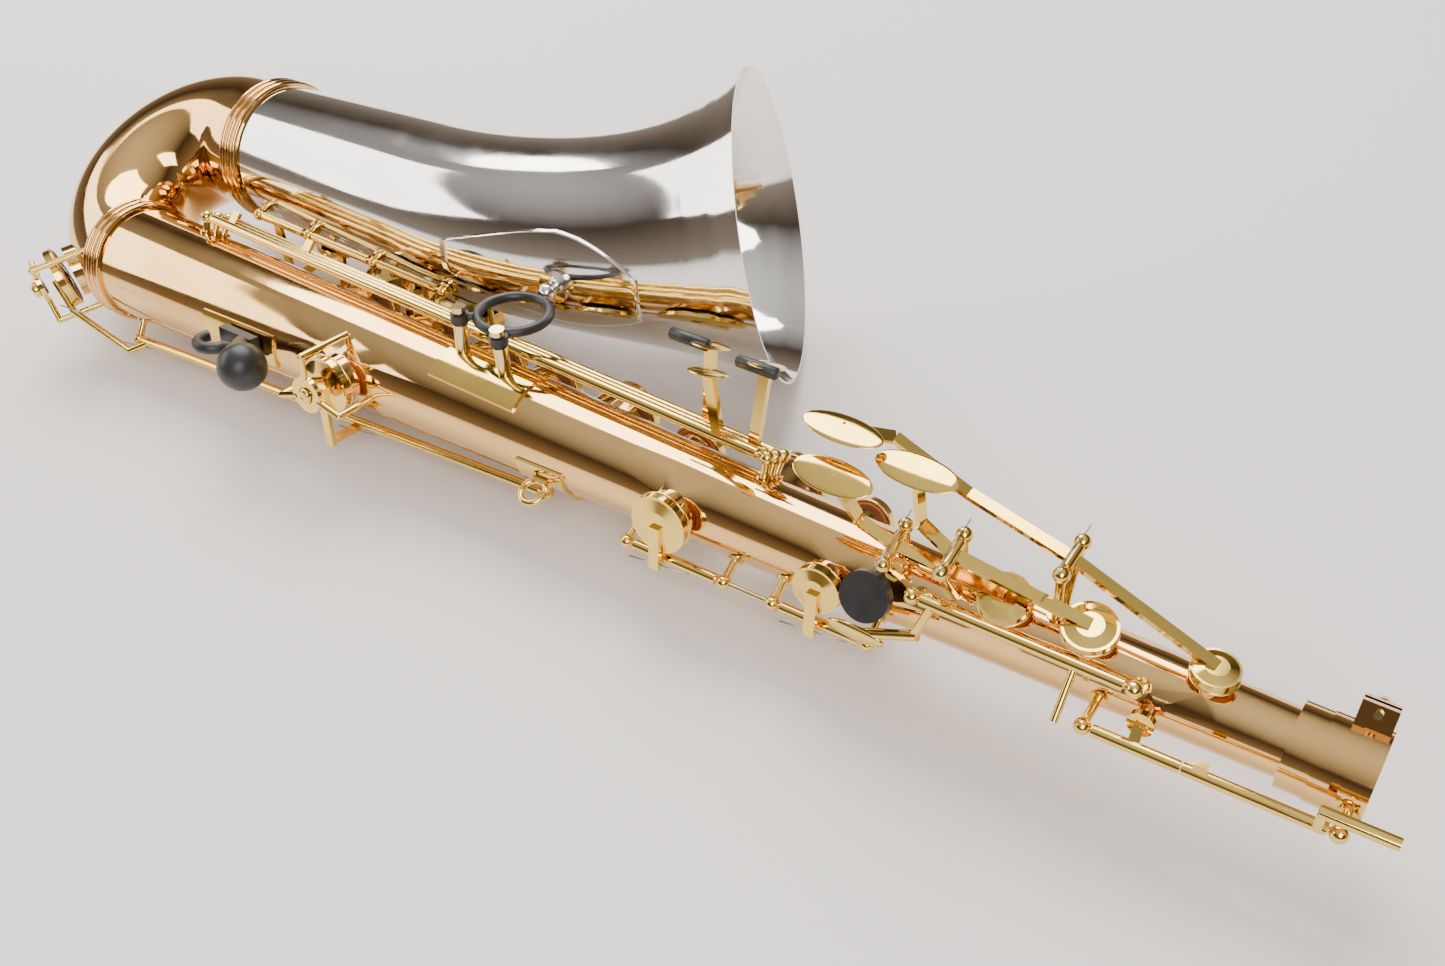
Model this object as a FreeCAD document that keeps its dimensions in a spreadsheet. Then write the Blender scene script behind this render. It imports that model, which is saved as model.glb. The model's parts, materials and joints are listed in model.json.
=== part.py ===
import FreeCAD, Part
import math
import os
import Sketcher
from FreeCAD import Placement, Rotation, Vector

os.makedirs("parts", exist_ok=True)
doc = FreeCAD.newDocument("Saxophone")

# Driving sizes in millimetres and degrees. The instrument is laid out with X up the body
# tube from the bow joint, Y towards the bell and Z to the player's left.
sizes = {
    "bodyLength": 633.6, "bodyFootRadius": 31.3, "bodyTopRadius": 13.4, "tubeWall": 1.0,
    "bellOffset": 95.5, "bellStart": 31.6, "bellFootRadius": 38.0, "bellStraight": 126.4,
    "bellBendRadius": 368.0, "bellBendAngle": 28.8,
    "bellFlareGrowth": 1.5, "bellFlarePower": 5.0, "bellSteps": 16, "bellRimRadius": 76.0, "rimBead": 1.6,
    "ringHalfWidth": 6.8, "ringHeight": 2.6, "ringBeadRadius": 3.4,
    "receiverLength": 28.8, "receiverRadius": 16.4, "socketRadius": 13.75, "socketDepth": 26.0,
    "receiverBand": 1.0, "slotWidth": 1.6, "lugHeight": 11.0, "lugThickness": 3.2,
    "lugGap": 3.0, "lugLength": 12.0, "clampScrewRadius": 1.6,
    "chimneyHeight": 4.0, "chimneyWall": 0.8, "cupOverlap": 2.6, "cupHeight": 3.4,
    "cupFloor": 1.0, "padThickness": 3.6, "padClearance": 0.1, "padRest": 0.4,
    "domeHeight": 1.2, "armWidth": 5.0, "armThickness": 2.2,
    "rodRadius": 1.2, "boreClearance": 0.05, "barrelRadius": 2.4, "barrelEndGap": 0.4,
    "postRadius": 1.8, "ballRadius": 3.3, "footRadius": 3.6, "footHeight": 1.4,
    "sink": 0.4, "plateThickness": 1.2, "rodOverrun": 2.0,
    "lowerStackAngle": -35.0, "lowerHingeSide": 27.0, "lowerHingeHeight": -4.0,
    "upperStackAngle": -28.0, "upperHingeSide": 23.5, "upperHingeHeight": -5.0,
    "sideHingeSide": -19.0, "sideHingeHeight": 4.5, "sideKeyAngle": 150.0,
    "bellKeyAngle": 250.0, "bellHingeSide": 44.0, "bellHingeHeight": -27.0, "bellGrowth": 0.042,
    "lowRodAngle": 212.0, "lowRodFoot": 11.8, "lowRodTop": 5.0, "lowRodStart": 5.0,
    "lowRodLength": 300.0, "lowEbAngle": 150.0, "lowCAngle": 25.0, "lowCLean": 15.0,
    "leverSpacing": 7.0, "leverAngle": 36.0, "leverHeight": 8.0, "leverStart": 48.0,
    "leverEnd": 412.0, "touchLength": 26.0, "touchWidth": 13.0, "touchThickness": 2.6,
    "palmBarrel": 11.0, "palmTouchLength": 34.0, "palmTouchWidth": 15.0,
    "braceRingRadius": 16.8, "braceRingThickness": 2.4, "braceX": 264.0, "braceY": 34.8,
    "braceZ": 31.0, "braceTilt": -25.8, "braceBoltRadius": 3.4, "braceShankRadius": 1.8,
    "bellFootDepth": 49.0,
    "strapStation": 309.0, "strapAngle": 178.0, "strapRingRadius": 6.0, "strapWire": 1.6,
    "hookStation": 112.0, "hookAngle": 148.0, "hookBulb": 12.0, "hookWire": 4.5,
    "restStation": 479.0, "restAngle": 134.0, "restRadius": 10.5, "restHeight": 12.0,
    "octaveHeight": 11.5, "octaveAngle": 119.0, "octaveStart": 497.0, "octaveEnd": 583.0,
    "octaveElbowAngle": 152.0, "octaveElbowReach": 27.0, "octaveTouchAngle": 171.0,
    "octaveTouchReach": 30.0, "octaveBarStation": 561.5, "octaveBarAngle": 158.0,
    "octaveBarReach": 34.5, "pinAngle": 147.0, "pinReach": 27.5, "fingerStation": 612.0,
    "neckRodHeight": 14.0, "neckRodAngle": 163.0, "neckRodStart": 570.0, "neckRodEnd": 658.0,
    "guardHeight": 16.0, "guardWire": 2.4, "lieRoll": 15.6918, "liePitch": 0.0,
    "lugAngle": 38.0, "pipStation": 588.0, "pipAngle": 150.0, "pipRadius": 3.2,
    "pipHeight": 5.0, "pinLength": 24.0, "splitStation": 605.7,
    "sideRestAngle": -100.0, "sideRestReach": 43.0, "sideRestRadius": 2.4, "sideRestBall": 4.2,
}

# Keys whose cups hang beside a rod: station of the tone hole up the tube, cup radius,
# the stretch of rod that the barrel covers, and how far the cup stands open at rest.
stackKeys = {
    "d_key": {"rack": "lower", "station": 137.0, "cup": 20.5, "barrel": (115.0, 158.0), "open": 9.0},
    "e_key": {"rack": "lower", "station": 187.0, "cup": 19.5, "barrel": (166.0, 208.0), "open": 9.0},
    "f_key": {"rack": "lower", "station": 232.0, "cup": 18.0, "barrel": (216.0, 244.0), "open": 9.0},
    "f_sharp_key": {"rack": "lower", "station": 270.0, "cup": 16.5, "barrel": (252.0, 287.0),
                    "open": 9.0},
    "g_key": {"rack": "upper", "station": 316.0, "cup": 17.5, "barrel": (300.0, 333.0), "open": 10.0},
    "a_key": {"rack": "upper", "station": 410.0, "cup": 16.5, "barrel": (394.0, 428.0), "open": 10.0},
    "b_key": {"rack": "upper", "station": 450.0, "cup": 10.5, "barrel": (436.0, 464.0), "open": 10.0},
    "g_sharp_key": {"rack": "upper", "station": 362.0, "cup": 13.0, "barrel": (344.0, 382.0),
                    "open": 0.0},
    "side_bb_key": {"rack": "side", "station": 381.0, "cup": 13.5, "barrel": (366.0, 408.0),
                    "open": 0.0},
    "side_c_key": {"rack": "side", "station": 457.0, "cup": 10.5, "barrel": (440.0, 476.0),
                   "open": 0.0},
    "low_c_sharp_key": {"rack": "bell", "station": 62.0, "cup": 20.0, "barrel": (52.0, 84.0),
                        "open": 0.0},
    "low_b_key": {"rack": "bell", "station": 112.0, "cup": 22.0, "barrel": (92.0, 134.0),
                  "open": 8.0},
    "low_bb_key": {"rack": "bell", "station": 162.0, "cup": 22.0, "barrel": (142.0, 184.0),
                   "open": 8.0},
}
racks = {
    "lower": {"angle": "lowerStackAngle", "side": "lowerHingeSide", "height": "lowerHingeHeight",
              "posts": (111.0, 162.0, 212.0, 248.0, 291.0)},
    "upper": {"angle": "upperStackAngle", "side": "upperHingeSide", "height": "upperHingeHeight",
              "posts": (296.0, 337.0, 390.0, 432.0, 468.0)},
    "side": {"angle": "sideKeyAngle", "side": "sideHingeSide", "height": "sideHingeHeight",
             "posts": (362.0, 412.0, 436.0, 480.0)},
    "bell": {"angle": "bellKeyAngle", "side": "bellHingeSide", "height": "bellHingeHeight",
             "posts": (48.0, 88.0, 138.0, 188.0)},
}
# Palm keys turn on short rods that cross the tube: pivot and cup stations, the pivot's
# distance to the side and height, then the bends and the touch of the arm as station,
# distance to the side and height.
palmKeys = {
    "palm_d_key": {"angle": 90.0, "pivot": (483.0, 0.0, 14.0), "cup": 528.0, "radius": 10.3,
                   "arm": ((468.0, 2.0, 18.0), (457.0, 6.0, 38.5))},
    "palm_eb_key": {"angle": 84.0, "pivot": (507.0, -1.5, 22.0), "cup": 560.0, "radius": 10.3,
                    "arm": ((492.0, 3.0, 26.0), (486.0, 13.0, 43.0))},
    "palm_f_key": {"angle": 73.0, "pivot": (545.0, 10.0, 22.0), "cup": 604.0, "radius": 8.6,
                   "arm": ((500.0, 17.0, 26.0), (468.0, 17.0, 40.0), (454.0, 2.0, 50.0))},
}
# The low E flat and low C keys share the long rod on the back.
lowEb = {"station": 183.0, "cup": 15.0, "barrel": (150.0, 296.0)}
lowC = {"cup": 17.0, "barrel": (4.0, 142.0), "open": 6.0}
lowRodPosts = (0.0, 146.0, 300.0)
sideRests = (102.0, 300.0)
# Levers of the left little finger table: how far each touch stands along and out, and the
# bell key whose link it works.
levers = {
    "low_c_sharp_lever": {"place": 0, "touch": (388.0, 28.0, 58.0), "link": 68.0},
    "low_b_lever": {"place": 1, "touch": (402.0, 46.0, 46.0), "link": 118.0},
    "low_bb_lever": {"place": 2, "touch": (374.0, 46.0, 46.0), "link": 168.0},
}

sheet = doc.addObject("Spreadsheet::Sheet", "Sizes")
for row, (name, value) in enumerate(sizes.items(), 1):
    sheet.set(f"A{row}", name)
    sheet.set(f"B{row}", str(value))
    sheet.setAlias(f"B{row}", name)
doc.recompute()

nodes = []
hingeLines = {}
upTube = Rotation(Vector(0, 1, 0), 90)
still = Rotation()


def shift(x, y, z):
    return Placement(Vector(x, y, z), still)


def tubeRadius(station):
    share = station / sizes["bodyLength"]
    return sizes["bodyFootRadius"] + (sizes["bodyTopRadius"] - sizes["bodyFootRadius"]) * share


def bellRadius(station):
    """Outer radius of the straight foot of the bell, which opens slowly."""
    return sizes["bellFootRadius"] + sizes["bellGrowth"] * (station - sizes["bellStart"])


def polar(station, angle, reach):
    turn = math.radians(angle)
    return Vector(station, reach * math.cos(turn), reach * math.sin(turn))


def tubeFrame(station, angle, offset=0.0):
    """Frame on a tube: local Z points out of the wall, local X up the tube."""
    return Placement(Vector(station, offset, 0), Rotation(Vector(1, 0, 0), angle - 90))


def wallFrame(station, angle, offset=0.0, radius=tubeRadius, lean=None):
    """Frame on a tube's wall: X runs up the wall line at the lean angle, Z points outwards."""
    slope = radius(1.0) - radius(0.0)
    along = polar(1.0, angle if lean is None else lean, slope).normalize()
    out = polar(0.0, angle, 1.0)
    origin = polar(station, angle, radius(station)) + Vector(0, offset, 0)
    return Placement(origin, Rotation(along, Vector(), out, "XZY"))


def measure(rule):
    """The number that a sheet expression gives."""
    value = sheet.evalExpression(rule)
    return getattr(value, "Value", value)


def solid(kind, label, place, **settings):
    """A Part primitive whose sizes are expressions on the sheet."""
    item = doc.addObject("Part::" + kind, label)
    for name, rule in settings.items():
        if isinstance(rule, str):
            item.setExpression(name, rule)
        else:
            setattr(item, name, rule)
    item.Placement = place
    return item


def cylinder(label, radius, height, place):
    return solid("Cylinder", label, place, Radius=radius, Height=height)


def box(label, length, width, height, place):
    """A box centred on its frame in X and Y, standing on its XY plane."""
    centred = place * shift(-measure(length) / 2, -measure(width) / 2, 0)
    return solid("Box", label, centred, Length=length, Width=width, Height=height)


def barAlong(label, start, end, radius):
    """A round bar between two points."""
    run = end - start
    place = Placement(start, Rotation(Vector(0, 0, 1), run))
    return solid("Cylinder", label, place, Radius=radius, Height=run.Length)


def stripAlong(label, start, end, width, thickness, across):
    """A flat strip between two points; its width lies along the given direction."""
    run = end - start
    place = Placement(start, Rotation(across, Vector(), run, "ZXY"))
    return box(label, width, thickness, f"{run.Length}", place)


def fuse(label, shapes):
    item = doc.addObject("Part::MultiFuse", label)
    item.Shapes = shapes
    item.Refine = False
    return item


def group(label, shapes):
    item = doc.addObject("Part::Compound", label)
    item.Links = shapes
    return item


def cut(label, base, tool):
    item = doc.addObject("Part::Cut", label)
    item.Base = base
    item.Tool = tool
    item.Refine = False
    return item


def common(label, base, tool):
    item = doc.addObject("Part::Common", label)
    item.Base = base
    item.Tool = tool
    return item


def keep(item, label, place=None):
    """Name a finished sub-part and list it for export."""
    item.Label = label
    if place is not None:
        item.Placement = place
    nodes.append(item)
    return item


def profile(body, name, corners):
    """A closed sketch through corners, each pinned to the origin by sheet expressions."""
    sketch = body.newObject("Sketcher::SketchObject", name)
    plane = [part for part in body.Origin.OriginFeatures if part.Role == "XY_Plane"][0]
    sketch.AttachmentSupport = [(plane, "")]
    sketch.MapMode = "FlatFace"
    values = [Vector(measure(across), measure(up), 0) for across, up in corners]
    count = len(values)
    for index in range(count):
        sketch.addGeometry(Part.LineSegment(values[index], values[(index + 1) % count]), False)
    for index in range(count):
        sketch.addConstraint(Sketcher.Constraint("Coincident", index, 2, (index + 1) % count, 1))
    for index, rules in enumerate(corners):
        for kind, rule in zip(("DistanceX", "DistanceY"), rules):
            value = values[index].x if kind == "DistanceX" else values[index].y
            spot = sketch.addConstraint(Sketcher.Constraint(kind, -1, 1, index, 1, value))
            sketch.setExpression(f"Constraints[{spot}]", rule)
    return sketch


def turned(label, corners, place):
    """A PartDesign body turned about X from a profile of (station, radius) corners."""
    body = doc.addObject("PartDesign::Body", label)
    sketch = profile(body, label + "Profile", corners)
    turn = body.newObject("PartDesign::Revolution", label + "Turn")
    turn.Profile = sketch
    turn.ReferenceAxis = (sketch, ["H_Axis"])
    turn.Angle = 360
    body.Tip = turn
    body.Placement = place
    return body


def saddle(label, station, angle, length, width, offset=0.0, radius=tubeRadius):
    """A plate curved to the tube: a shell of the tube's cone inside a straight block."""
    half = length / 2
    place = Placement(Vector(station - half, offset, 0), upTube)
    low = radius(station - half)
    high = radius(station + half)
    skin = sizes["plateThickness"]
    outer = solid("Cone", label + "Outer", place, Radius1=low + skin, Radius2=high + skin, Height=length)
    inner = solid("Cone", label + "Inner", place, Radius1=low, Radius2=high, Height=length)
    shell = cut(label + "Shell", outer, inner)
    block = box(label + "Block", f"{length}", f"{width}", f"{low + skin + 5}",
                tubeFrame(station, angle, offset))
    return common(label, shell, block)


def chimney(label, cup, place, depth):
    """Outer wall and bore of a tone hole under a cup; the place is on the tube's wall."""
    start = place * shift(0, 0, -depth)
    reach = depth + sizes["chimneyHeight"]
    wall = f"{cup} - Sizes.cupOverlap"
    outer = cylinder(label + "Wall", wall, f"{reach}", start)
    bore = cylinder(label + "Hole", wall + " - Sizes.chimneyWall", f"{reach + 1}", start)
    return outer, bore


def stackFrame(key, station):
    """The wall frame of a rack's keys, on the body or on the bell."""
    angle = sizes[racks[key["rack"]]["angle"]]
    if key["rack"] == "bell":
        return wallFrame(station, angle, sizes["bellOffset"], bellRadius)
    return wallFrame(station, angle)


def lowRodFrame():
    """Frame of the long back rod: X runs along the rod from its lowest post."""
    foot = sizes["lowRodStart"]
    head = foot + sizes["lowRodLength"]
    start = polar(foot, sizes["lowRodAngle"], tubeRadius(foot) + sizes["lowRodFoot"])
    end = polar(head, sizes["lowRodAngle"], tubeRadius(head) + sizes["lowRodTop"])
    out = polar(0, sizes["lowRodAngle"], 1.0)
    return Placement(start, Rotation(end - start, Vector(), out, "XZY"))


def lowEbFrame():
    """Frame of the low E flat hole, level with the long back rod."""
    frame = wallFrame(lowEb["station"], sizes["lowEbAngle"])
    rod = lowRodFrame().Rotation.multVec(Vector(1, 0, 0))
    return Placement(frame.Base, Rotation(rod, Vector(), polar(0, sizes["lowEbAngle"], 1.0), "XZY"))


def pipFrame():
    return wallFrame(sizes["pipStation"], sizes["pipAngle"], lean=sizes["neckRodAngle"])


def makeBodyTube():
    """The cone of the body with a chimney for every tone hole on it."""
    foot = "Sizes.bodyFootRadius"
    top = "Sizes.bodyTopRadius"
    place = Placement(Vector(), upTube)
    outer = solid("Cone", "bodyOuter", place, Radius1=foot, Radius2=top, Height="Sizes.bodyLength")
    inner = solid("Cone", "bodyInner", place, Radius1=foot + " - Sizes.tubeWall",
                  Radius2=top + " - Sizes.tubeWall", Height="Sizes.bodyLength")
    walls = []
    bores = []
    holes = [(label, key["cup"], stackFrame(key, key["station"]), key["station"])
             for label, key in stackKeys.items() if key["rack"] != "bell"]
    holes += [(label, key["radius"], wallFrame(key["cup"], key["angle"]), key["cup"])
              for label, key in palmKeys.items()]
    holes.append(("lowEb", lowEb["cup"], lowEbFrame(), lowEb["station"]))
    for label, cup, place, station in holes:
        wall, bore = chimney(label, cup, place, tubeRadius(station) * 0.5)
        walls.append(wall)
        bores.append(bore)
    pip = pipFrame() * shift(0, 0, -3)
    walls.append(cylinder("pipWall", "Sizes.pipRadius", "Sizes.pipHeight + 3", pip))
    bores.append(cylinder("pipBore", "Sizes.pipRadius - 1.2", "Sizes.pipHeight + 4", pip))
    skin = fuse("bodySkin", [outer] + walls)
    hollow = fuse("bodyHollow", [inner] + bores)
    keep(cut("bodyTube", skin, hollow), "body_tube")


def bowPoint(turn):
    """Centre of the bow's tube and its direction of travel, turn degrees from the body."""
    bend = sizes["bellOffset"] / 2
    angle = math.radians(turn)
    centre = Vector(-bend * math.sin(angle), bend - bend * math.cos(angle), 0)
    return centre, Rotation(Vector(0, 0, 1), 180 - turn) * Rotation(Vector(0, 1, 0), 90)


def bowLoft(label, inset, extra=0.0):
    """A bend of growing rings from the body joint to the bell joint, each end run on by extra."""
    arc = math.pi * sizes["bellOffset"] / 2
    whole = arc + sizes["bellStart"]
    rings = []
    for turn in range(0, 181, 20):
        centre, facing = bowPoint(turn)
        rings.append((arc * turn / 180, Placement(centre, facing)))
    rings.append((whole, Placement(Vector(sizes["bellStart"] + extra, sizes["bellOffset"], 0), upTube)))
    rings[0] = (0.0, shift(extra, 0, 0) * rings[0][1])
    return loft(label, [
        (f"Sizes.bodyFootRadius + (Sizes.bellFootRadius - Sizes.bodyFootRadius) * {run / whole}{inset}",
         place) for run, place in rings])


def loft(label, rings, ruled=False):
    """A closed solid through circles given as radius expression and placement."""
    sections = [solid("Circle", f"{label}Ring{index}", place, Radius=rule)
                for index, (rule, place) in enumerate(rings)]
    item = doc.addObject("Part::Loft", label)
    item.Sections = sections
    item.Solid = True
    item.Ruled = ruled
    return item


def makeBow():
    """The U bend, with the low C chimney on its back."""
    outer = bowLoft("bowOuter", "")
    inner = bowLoft("bowInner", " - Sizes.tubeWall", 0.5)
    wall, bore = chimney("lowC", lowC["cup"], lowCFrame(), 12.0)
    skin = fuse("bowSkin", [outer, wall])
    hollow = fuse("bowHollow", [inner, bore])
    keep(cut("bowTube", skin, hollow), "bow_tube")


def lowCFrame():
    """Frame of the low C tone hole on the back of the bow: Z out, X along the bow."""
    turn = math.radians(sizes["lowCAngle"])
    lean = math.radians(sizes["lowCLean"])
    centre, _ = bowPoint(sizes["lowCAngle"])
    back = Vector(-math.sin(turn), -math.cos(turn), 0)
    out = back * math.cos(lean) + Vector(0, 0, math.sin(lean))
    along = Vector(0, 0, 1).cross(back) * -1
    return Placement(centre + out * sizes["bodyFootRadius"], Rotation(along, Vector(), out, "XZY"))


def bellPoint(run):
    """Centre and facing of the bell at a run along its axis from the bow joint."""
    straight = sizes["bellStraight"]
    x = sizes["bellStart"] + min(run, straight)
    y = sizes["bellOffset"]
    turn = max(0.0, run - straight) / sizes["bellBendRadius"]
    x += sizes["bellBendRadius"] * math.sin(turn)
    y += sizes["bellBendRadius"] * (1 - math.cos(turn))
    return Placement(Vector(x, y, 0), Rotation(Vector(0, 0, 1), math.degrees(turn)) * upTube)


def bellForm(label, inset, extra):
    """The bell as a cone and a flare; the extra length runs it past both of its ends."""
    foot = sizes["bellFootRadius"]
    throat = foot + sizes["bellGrowth"] * sizes["bellStraight"]
    slope = sizes["bellGrowth"]
    cone = solid("Cone", label + "Cone", bellPoint(-extra), Radius1=f"{foot - slope * extra} - {inset}",
                 Radius2=f"{throat} - {inset}", Height=f"{sizes['bellStraight'] + extra}")
    bent = math.radians(sizes["bellBendAngle"]) * sizes["bellBendRadius"]
    straightGrowth = slope * sizes["bellFlareGrowth"] * bent
    flare = sizes["bellRimRadius"] - throat - straightGrowth
    rings = []
    steps = sizes["bellSteps"]
    for step in range(steps + 1):
        share = step / steps
        grown = throat + straightGrowth * share + flare * share ** sizes["bellFlarePower"]
        run = sizes["bellStraight"] + bent * share + (extra if step == steps else 0)
        rings.append((f"{grown} - {inset}", bellPoint(run)))
    return [cone, loft(label + "Flare", rings, True)]


def makeBell():
    """Bell tube and flare, its rolled rim, and the chimneys of the bell keys."""
    bent = math.radians(sizes["bellBendAngle"]) * sizes["bellBendRadius"]
    mouth = bellPoint(sizes["bellStraight"] + bent)
    rim = solid("Torus", "bellRim", mouth * shift(0, 0, -sizes["rimBead"] / 2),
                Radius1="Sizes.bellRimRadius", Radius2="Sizes.rimBead")
    walls = bellForm("bellOuter", "0", 0)
    bores = bellForm("bellInner", "Sizes.tubeWall", 0.4)
    for label, key in stackKeys.items():
        if key["rack"] != "bell":
            continue
        wall, bore = chimney(label, key["cup"], stackFrame(key, key["station"]), 20.0)
        walls.append(wall)
        bores.append(bore)
    skin = cut("bellSkin", fuse("bellWalls", walls), fuse("bellHollow", bores))
    keep(fuse("bellShell", [skin, rim]), "bell")


def makeRings():
    """Beaded joint rings where the bow meets the body and the bell."""
    half = "Sizes.ringHalfWidth"
    height = sizes["ringHeight"]
    for label, middle, offset, radius in (
            ("bow_body_ring", -sizes["ringHalfWidth"], 0.0, sizes["bodyFootRadius"]),
            ("bow_bell_ring", sizes["bellStart"] - sizes["ringHalfWidth"], sizes["bellOffset"],
             sizes["bellFootRadius"])):
        inside = f"{radius + 0.1}"
        corners = [(f"20 - {half}", inside), (f"20 + {half}", inside),
                   (f"20 + {half}", f"{radius} + Sizes.ringHeight / 2"),
                   (f"20 - {half}", f"{radius} + Sizes.ringHeight / 2")]
        place = shift(middle - 20, offset, 0)
        band = turned(label + "Band", corners, place)
        beads = [solid("Torus", f"{label}Bead{index}", shift(middle + spot, offset, 0)
                       * Placement(Vector(), upTube),
                       Radius1=f"{radius + height - 1.5}", Radius2="1.5")
                 for index, spot in enumerate((-4.6, 0.0, 4.6))]
        clear = cylinder(label + "Clear", inside, f"{2 * sizes['ringHalfWidth'] + 20}",
                         Placement(Vector(middle - sizes["ringHalfWidth"] - 10, offset, 0), upTube))
        hollow = fuse(label + "Hollow", [clear, bowLoft(label + "Bow", "")])
        keep(cut(label, fuse(label + "Whole", [band] + beads), hollow), label)


def makeReceiver():
    """Neck receiver with its bands, its slot, the split lug and the clamp screw."""
    start = sizes["bodyLength"]
    outer = "Sizes.receiverRadius"
    corners = [("0", "Sizes.bodyTopRadius - Sizes.tubeWall"),
               ("Sizes.receiverLength - Sizes.socketDepth", "Sizes.bodyTopRadius - Sizes.tubeWall"),
               ("Sizes.receiverLength - Sizes.socketDepth", "Sizes.socketRadius"),
               ("Sizes.receiverLength", "Sizes.socketRadius"),
               ("Sizes.receiverLength", outer + " + Sizes.receiverBand"),
               ("Sizes.receiverLength * 0.68", outer + " + Sizes.receiverBand"),
               ("Sizes.receiverLength * 0.68", outer + " + Sizes.receiverBand / 2"),
               ("Sizes.receiverLength * 0.34", outer + " + Sizes.receiverBand / 2"),
               ("Sizes.receiverLength * 0.34", outer), ("0", outer)]
    sleeve = turned("receiverSleeve", corners, shift(start, 0, 0))
    lugStation = start + sizes["receiverLength"] - sizes["lugLength"] / 2 - 1
    frame = tubeFrame(lugStation, sizes["lugAngle"])
    base = frame * shift(0, 0, sizes["socketRadius"] + 1)
    width = "Sizes.lugGap + 2 * Sizes.lugThickness"
    lug = box("receiverLug", "Sizes.lugLength", width, "Sizes.lugHeight", base)
    gap = box("receiverGap", "Sizes.receiverLength * 1.6", "Sizes.slotWidth",
              "Sizes.lugHeight + 8", frame * shift(0, 0, sizes["socketRadius"] - 3))
    wide = box("lugGapCut", "Sizes.lugLength + 1", "Sizes.lugGap", "Sizes.lugHeight",
               base * shift(0, 0, 2.8))
    across = Placement(Vector(), Rotation(Vector(1, 0, 0), 90))
    screwPlace = base * shift(0, 12, sizes["lugHeight"] - 3.2) * across
    bore = cylinder("lugBore", "Sizes.clampScrewRadius + 0.1", "24", screwPlace)
    body = cut("receiverBody", fuse("receiverWhole", [sleeve, lug]),
               fuse("receiverCuts", [gap, wide, bore]))
    keep(body, "neck_receiver")
    reach = sizes["lugGap"] / 2 + sizes["lugThickness"]
    shank = cylinder("screwShank", "Sizes.clampScrewRadius", f"{2 * reach + 3}",
                     base * shift(0, reach + 1.5, sizes["lugHeight"] - 3.2) * across)
    head = cylinder("screwHead", "Sizes.clampScrewRadius * 2.2", "3.4",
                    base * shift(0, reach + 3.6, sizes["lugHeight"] - 3.2) * across)
    keep(fuse("clampScrew", [shank, head]), "receiver_screw")


rods = []
posts = []


def standRadius(station):
    """What a post stands on: the body, or the top band of the receiver beyond its end."""
    if station < sizes["bodyLength"]:
        return tubeRadius(station)
    return sizes["receiverRadius"] + sizes["receiverBand"]


def layRod(line, stations, offset=0.0, radius=standRadius):
    """A steel rod along the frame's X, and the posts that carry it at the given stations."""
    start = line * Vector(stations[0] - sizes["rodOverrun"], 0, 0)
    end = line * Vector(stations[-1] + sizes["rodOverrun"], 0, 0)
    rods.append(barAlong(f"rod{len(rods)}", start, end, "Sizes.rodRadius"))
    for station in stations:
        standPost(line * Vector(station, 0, 0), offset, radius)


def standPost(point, offset, radius):
    """A post from the tube's wall to a ball round the given point."""
    axis = Vector(point.x, offset, 0)
    out = (point - axis).normalize()
    wall = axis + out * (radius(point.x) - sizes["sink"])
    name = f"post{len(posts)}"
    stem = barAlong(name + "Stem", wall, point, "Sizes.postRadius")
    foot = barAlong(name + "Foot", wall, wall + out * sizes["footHeight"], "Sizes.footRadius")
    ball = solid("Sphere", name + "Ball", Placement(point, still), Radius="Sizes.ballRadius")
    posts.append(fuse(name, [stem, foot, ball]))


def barrelOn(label, start, end, place):
    """Hinge barrel and its bore along X, between two stations of the place's frame."""
    tube = cylinder(label + "Barrel", "Sizes.barrelRadius", f"{end - start}",
                    place * Placement(Vector(start, 0, 0), upTube))
    bore = cylinder(label + "Bore", "Sizes.rodRadius + Sizes.boreClearance", f"{end - start + 2}",
                    place * Placement(Vector(start - 1, 0, 0), upTube))
    return tube, bore


def cupAndPad(label, cup, seat, place):
    """A key cup with its pad, seated over a chimney whose rim is seat above the frame."""
    padBase = seat + sizes["padRest"]
    cupBase = padBase + sizes["padThickness"] - sizes["cupHeight"] + sizes["cupFloor"]
    top = cupBase + sizes["cupHeight"]
    shell = cylinder(label + "Shell", f"{cup}", "Sizes.cupHeight", place * shift(0, 0, cupBase))
    pocket = cylinder(label + "Pocket", f"{cup} - Sizes.chimneyWall",
                      "Sizes.cupHeight - Sizes.cupFloor", place * shift(0, 0, cupBase))
    dome = solid("Cone", label + "Dome", place * shift(0, 0, top), Radius1=f"{cup} * 0.9",
                 Radius2=f"{cup} * 0.5", Height="Sizes.domeHeight")
    pad = cylinder(label + "Pad", f"{cup} - Sizes.chimneyWall - Sizes.padClearance",
                   "Sizes.padThickness", place * shift(0, 0, padBase))
    return cut(label + "Cup", fuse(label + "Solid", [shell, dome]), pocket), pad, top


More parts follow.
